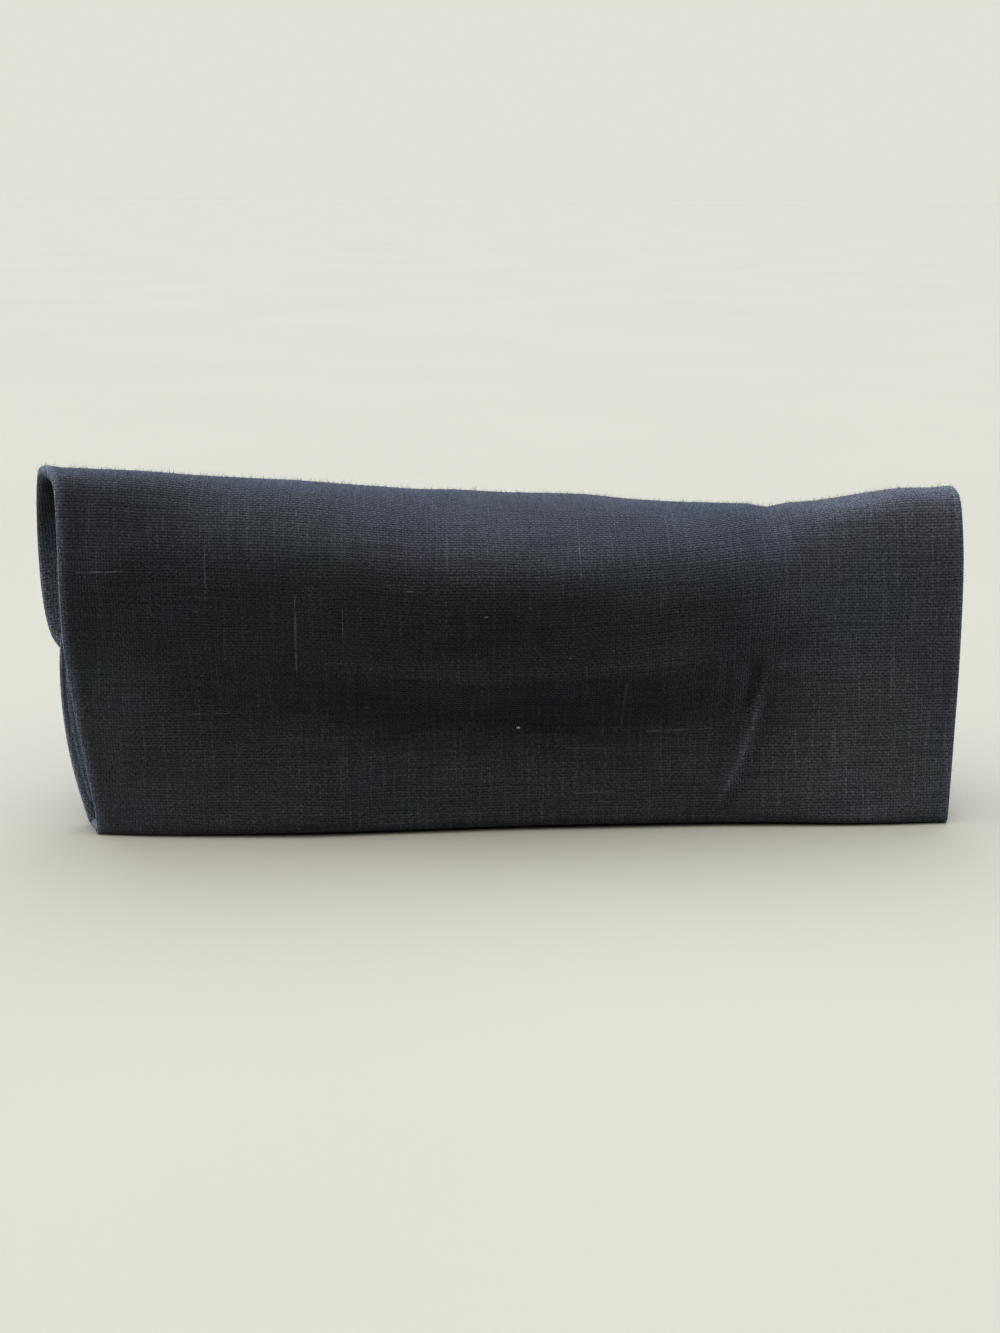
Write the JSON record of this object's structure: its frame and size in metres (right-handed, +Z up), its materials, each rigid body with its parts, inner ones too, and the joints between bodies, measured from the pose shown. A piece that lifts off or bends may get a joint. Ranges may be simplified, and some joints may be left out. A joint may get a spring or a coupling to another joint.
{
  "type": "cosmetic pouch",
  "caption": "Soft linen cosmetic pouch standing on its floor, a long cloth folded into a pocket with a flap over the far side and folded gussets at the ends.",
  "frame": {"origin": "middle of the bottom of the bounding box, on the table", "axes": "+Z up, +X along the width to the right seen from the plain front, -Y towards the plain front, +Y towards the flap"},
  "size_m": [0.2296, 0.048, 0.0905],
  "materials": {
    "linen": "matte plain weave"
  },
  "bodies": {
    "root": {"wrap": "linen", "gusset_left": "linen", "gusset_right": "linen"}
  },
  "joints": []
}
